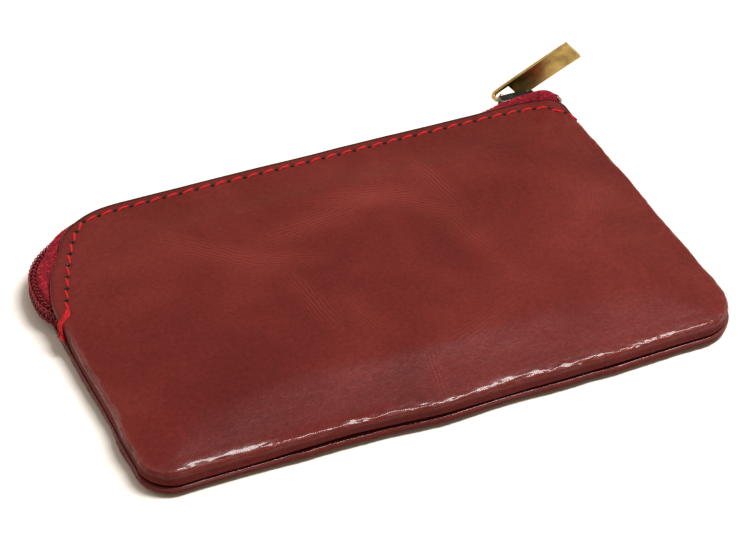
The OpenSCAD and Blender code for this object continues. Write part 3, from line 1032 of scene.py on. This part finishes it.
def coil_open(s):
    """Extra distance of each half of the coil from the chain's middle."""
    return PARTING * smooth(s, s_of_x(SLIDER_X + 0.5), s_of_x(SLIDER_X + 3.0))


# The coil's wire: its radius, the half width of a turn, and how far a turn reaches over the chain's middle
WIRE_R, TURN_HALF, MESHING = 0.27, 0.62, 0.42


def coil(side):
    """One half of the zip: a flattened helix of nylon, its turns meshing with the other half."""
    start = S_ZIP_START - 0.4 + (0.5 * COIL_PITCH if side < 0 else 0)
    turns = int((S_CHAIN_STOP - 0.5 - start) / COIL_PITCH)
    per_turn = 20
    a = np.linspace(0, turns * 2 * math.pi, turns * per_turn)
    s = start + COIL_PITCH * a / (2 * math.pi) + 0.12 * np.sin(2 * a)
    middle = (COIL_HALF - MESHING) / 2
    reach = (COIL_HALF + MESHING) / 2
    dz = middle + reach * np.cos(a) * (1 + 0.08 * np.cos(3 * a)) + coil_open(s)
    u = COIL_TOP_U - 0.85 + TURN_HALF * np.sin(a) + chain_shift(s)
    path = chain_point(s, u, CHAIN_Z + side * dz)
    points, faces = tube(path, WIRE_R + 0.05 * bump(np.cos(a), -1, 0.5), 8)
    name, node = ("coil_front_turns", "coil_front") if side > 0 else ("coil_back_turns", "coil_back")
    return mesh(name, points, faces, nylon, "pouch", [node])


CORE_R, CORE_DEPTH, CORE_OFF = 0.38, 0.68, 0.7


def coil_core(side):
    """Twisted cord inside one half of the coil."""
    s = np.arange(S_ZIP_START, S_CHAIN_STOP - 1, 0.4)
    off = CORE_OFF + coil_open(s)
    path = chain_point(s, COIL_TOP_U - CORE_DEPTH + chain_shift(s), CHAIN_Z + side * off)
    points, faces = tube(path, CORE_R, 10, 3, 2.2, 0.2)
    name = "core_front" if side > 0 else "core_back"
    return mesh(name, points, faces, dull_red, "pouch", ["coil_" + name])


def coil_thread(side):
    """Two rows of stitches that hold the coil to the tape, dipping between its turns."""
    pile = Pile()
    for row in (0.95, 1.5):
        s = np.arange(S_ZIP_START, S_CHAIN_STOP - 1, 0.1)
        wave = 0.10 * np.cos(2 * math.pi * (s - S_ZIP_START) / COIL_PITCH)
        u = COIL_TOP_U + 0.02 + wave + chain_shift(s)
        path = chain_point(s, u, CHAIN_Z + side * (row + coil_open(s)))
        pile.add(*tube(path, 0.13, 7, 2, 5.0, 0.25))
    points, faces = pile.all()
    name = "coil_thread_front" if side > 0 else "coil_thread_back"
    return mesh(name + "_rows", points, faces, dull_red, "pouch", [name])


# ---- Sewing thread ----


def leather_height(obj):
    """Function that gives the height of a panel's outer face under a point, or else the fallback."""
    tree = BVHTree.FromObject(obj, bpy.context.evaluated_depsgraph_get())
    above, down = 0.05, Vector((0, 0, -1))

    def height(x, y, fallback):
        hit = tree.ray_cast(Vector((x * MM, y * MM, above)), down)
        return hit[0].z / MM if hit[0] is not None else fallback

    return height


def topstitch(front, height):
    """Slanted stitches from hole to hole, each a twisted thread pulled down at its ends."""
    pile = Pile()
    probes = [0, 5, 10, 15]
    for start, end in zip(hole_points[:-1], hole_points[1:]):
        t = np.linspace(0, 1, probes[-1] + 1)
        ahead = (end - start) / np.linalg.norm(end - start)
        aside = np.array([-ahead[1], ahead[0]])
        slant = (0.62 * (t - 0.5) + rng.uniform(-0.04, 0.04))[:, None]
        p = start + (0.12 + 0.76 * t)[:, None] * (end - start) + slant * aside * (1 if front else -1)
        arch = np.sin(math.pi * t) ** 0.4
        if front:
            base = np.array([height(a, b, SEAM_Z + 2) for a, b in p[probes]])
            level = np.interp(t, [0, 0.33, 0.67, 1], base)
            level = np.maximum(level, 0.5 * (level[4] + level[11]) - 0.15)
            z = level + 0.05 * arch - 0.34 * (1 - arch)
        else:
            z = 0.36 - 0.05 * arch
        path = np.stack([p[:, 0], p[:, 1], z + 0 * t], 1)
        width = THREAD_D / 2 * (0.76 + 0.26 * arch) * rng.uniform(0.94, 1.05)
        if not front:
            width = width * 0.9
        pile.add(*tube(path, width, 12, 2, 3.6 + rng.uniform(-0.3, 0.3), 0.30))
    points, faces = pile.all()
    name = "topstitch_front" if front else "topstitch_back"
    return mesh(name + "_thread", points, faces, stitch_red, "pouch", [name])


SEAM_PITCH, SEAM_STITCH = 3.6, 2.7


def seam_thread():
    """The seam's stitches deep in the groove, a few of which show."""
    pile = Pile()
    round_low_side = np.arange(S_ZIP_STOP + 1, S_LOW_ARC + LOW_R * math.pi / 2, SEAM_PITCH)
    up_left_side = np.arange(2, S_ZIP_START - 2, SEAM_PITCH)
    t = np.linspace(0, 1, 8)
    for s in np.concatenate([round_low_side, up_left_side]):
        p, n = on_outline(s + SEAM_STITCH * t)
        shows = rng.uniform() < 0.1
        depth = 0.9 if shows else 1.7
        p = p - n * (depth + 0.25 * (1 - np.sin(math.pi * t)))[:, None]
        x, y = lean(p[:, 0], p[:, 1])
        path = np.stack([x, y, np.full(len(t), SEAM_Z + 0.02)], 1)
        pile.add(*tube(path, 0.16, 8, 2, 4.0, 0.3))
    points, faces = pile.all()
    return mesh("seam_stitches", points, faces, stitch_red, "pouch", ["seam_thread"])


TACK_PASSES, TACK_W, TACK_HALF = 16, 1.6, 1.3


def end_tack(node, s, name):
    """Close zigzag of thread over the two tapes at an end of the zip."""
    t = np.linspace(0, 1, 160)
    zigzag = np.abs((t * TACK_PASSES) % 2 - 1) * 2 - 1
    along = s + TACK_W * t
    path = chain_point(along, 1.2 + chain_shift(along) + 0.2 * np.sin(40 * t), CHAIN_Z + TACK_HALF * zigzag)
    points, faces = tube(path, 0.17, 7, 2, 4.0, 0.3)
    return mesh(name, points, faces, dull_red, "pouch", [node])


TAIL_STRANDS = 44


def tail_strand(x, y, top, spread):
    """Middle line of one strand: from beside the first needle hole at x, y over the cut edge and down."""
    edge = -HALF_W - 0.35
    a, b, c = spread
    return curve_through([
        (x + 0.3 + 0.6 * a, y + 1.6 + b, top + 0.15),
        (x - 0.2 + 0.7 * a, y - 0.3 + b, top + 0.35 + 0.2 * c),
        (edge + 0.3 * a, y - 1.6 + 1.2 * b, top - 0.7 + 0.3 * c),
        (edge - 0.3 + 0.5 * a, y - 2.6 + 1.9 * b, top - 2.2 + 0.5 * c),
        (edge - 0.6 + 1.9 * a, y - 3.2 + 3.6 * b, top - 3.4 + c),
    ], 60)


def thread_tail():
    """Frayed end of the topstitch thread, hanging over the cut edge at the open end of the zip."""
    pile = Pile()
    x, y = hole_points[0]
    top = height_of_front(x, y, LIP_Z)
    for _ in range(TAIL_STRANDS):
        spread = rng.uniform(-0.55, 0.55, 3)
        length = rng.uniform(0.35, 1.0)
        first, last = int(rng.uniform(0, 26)), int(24 + 36 * length)
        path = tail_strand(x, y, top, spread)[first:last]
        size, rate, phase = rng.uniform(0.08, 0.26), rng.uniform(0.25, 0.6), rng.uniform(0, 6)
        wobble = size * np.sin(np.arange(len(path)) * rate + phase)
        path = path + wobble[:, None] * np.array([0.6, 1.0, 0.4])
        pile.add(*tube(path, rng.uniform(0.09, 0.15), 6, 2, 4.0, 0.3))
    points, faces = pile.all()
    return mesh("thread_tail_fray", points, faces, stitch_red, "pouch", ["thread_tail"])


front_leather = leather_panel(True)
back_leather = leather_panel(False)
height_of_front = leather_height(front_leather)
for front in (True, False):
    zip_tape(front)
for side in (1, -1):
    coil(side)
    coil_core(side)
    coil_thread(side)
topstitch(True, height_of_front)
topstitch(False, None)
seam_thread()
end_tack("end_tack_open", S_ZIP_START - 1.2, "tack_open")
end_tack("end_tack_closed", S_CHAIN_STOP - 1.4, "tack_closed")
thread_tail()

for node, finish in (("slider_body", gunmetal), ("slider_crown", brass), ("puller", brass)):
    data = frame["nodes"][node].data
    data.materials.clear()
    data.materials.append(finish)


PIN_HALF, PIN_R = 2.55, 0.52


def pin_end():
    """Rounded end of the puller's pin, on the hinge's line."""
    joint = next(j for j in frame["joints"] if j["name"] == "puller_swing")
    middle = np.array(joint["pos_m"]) / MM + PIN_HALF * np.array(joint["axis"])
    rows, sides = 10, 16
    polar = np.linspace(0, math.pi, rows)[:, None]
    around = np.linspace(0, 2 * math.pi, sides, endpoint=False)[None, :]
    ring = np.sin(polar)
    ball = np.stack([ring * np.cos(around), ring * np.sin(around), np.cos(polar) + 0 * around], -1)
    points = middle + PIN_R * ball.reshape(-1, 3)
    faces = grid_faces(rows, sides, wrap_columns=True)
    mesh("puller_pin_end", points, faces, brass, "puller", ())


pin_end()

# ---- Floor, light and camera ----


def floor():
    """Wide pale floor just under the pouch."""
    m, _, shader = material("pale_floor")
    shader.inputs["Base Color"].default_value = (0.93, 0.915, 0.90, 1)
    shader.inputs["Roughness"].default_value = 0.6
    shader.inputs["Specular IOR Level"].default_value = 0.15
    size = 4000
    points = [(-size, -size, -0.02), (size, -size, -0.02), (size, size, -0.02), (-size, size, -0.02)]
    plane = mesh("floor", points, [(0, 1, 2, 3)], m, None, flat=True)


def soft_light(name, place, target, width, height, power, color):
    """Rectangular studio light at a place, facing its target."""
    data = bpy.data.lights.new(name, "AREA")
    data.shape = "RECTANGLE"
    data.size, data.size_y = width, height
    data.energy = power
    data.color = color
    obj = bpy.data.objects.new(name, data)
    obj.location = place
    obj.rotation_mode = "QUATERNION"
    obj.rotation_quaternion = (Vector(target) - Vector(place)).to_track_quat("-Z", "Y")
    bpy.context.scene.collection.objects.link(obj)


def sky(strength):
    """Even warm light from all round."""
    world = bpy.data.worlds.new("studio")
    bpy.context.scene.world = world
    world.use_nodes = True
    background = world.node_tree.nodes["Background"]
    background.inputs["Color"].default_value = (1.0, 0.80, 0.56, 1)
    background.inputs["Strength"].default_value = strength


def camera():
    """The photographed view: azimuth -27.4, elevation 39.3, slightly rolled, from 0.48 m."""
    azimuth, elevation, roll = math.radians(-27.365), math.radians(39.342), math.radians(3.145)
    distance, target = 0.477, Vector((0.00342, 0.0077, 0))
    level = math.cos(elevation)
    back = Vector((math.sin(azimuth) * level, -math.cos(azimuth) * level, math.sin(elevation)))
    right = (-back).cross(Vector((0, 0, 1))).normalized()
    up = right.cross(-back)
    side = math.cos(roll) * right + math.sin(roll) * up
    top = math.cos(roll) * up - math.sin(roll) * right
    data = bpy.data.cameras.new("camera")
    data.sensor_width = 36
    data.lens = 110.1
    data.clip_start = 0.01
    obj = bpy.data.objects.new("camera", data)
    place = target + back * distance
    obj.matrix_world = Matrix([*zip(side, top, back, place), (0, 0, 0, 1)])
    bpy.context.scene.collection.objects.link(obj)
    bpy.context.scene.camera = obj


floor()
sky(0.27)
soft_light("key", (0.34, -0.05, 0.83), (0, 0, 0), 0.17, 0.42, 9.6, (1.0, 0.985, 0.955))
soft_light("card", (-0.42, 0.48, 0.30), (0.05, 0.05, 0), 0.5, 0.4, 0.8, (1.0, 0.98, 0.95))
soft_light("fill", (-0.25, 0.10, 0.85), (0, 0, 0), 0.6, 0.6, 0.45, (1.0, 0.93, 0.82))
camera()
bpy.context.scene.view_settings.view_transform = "Standard"
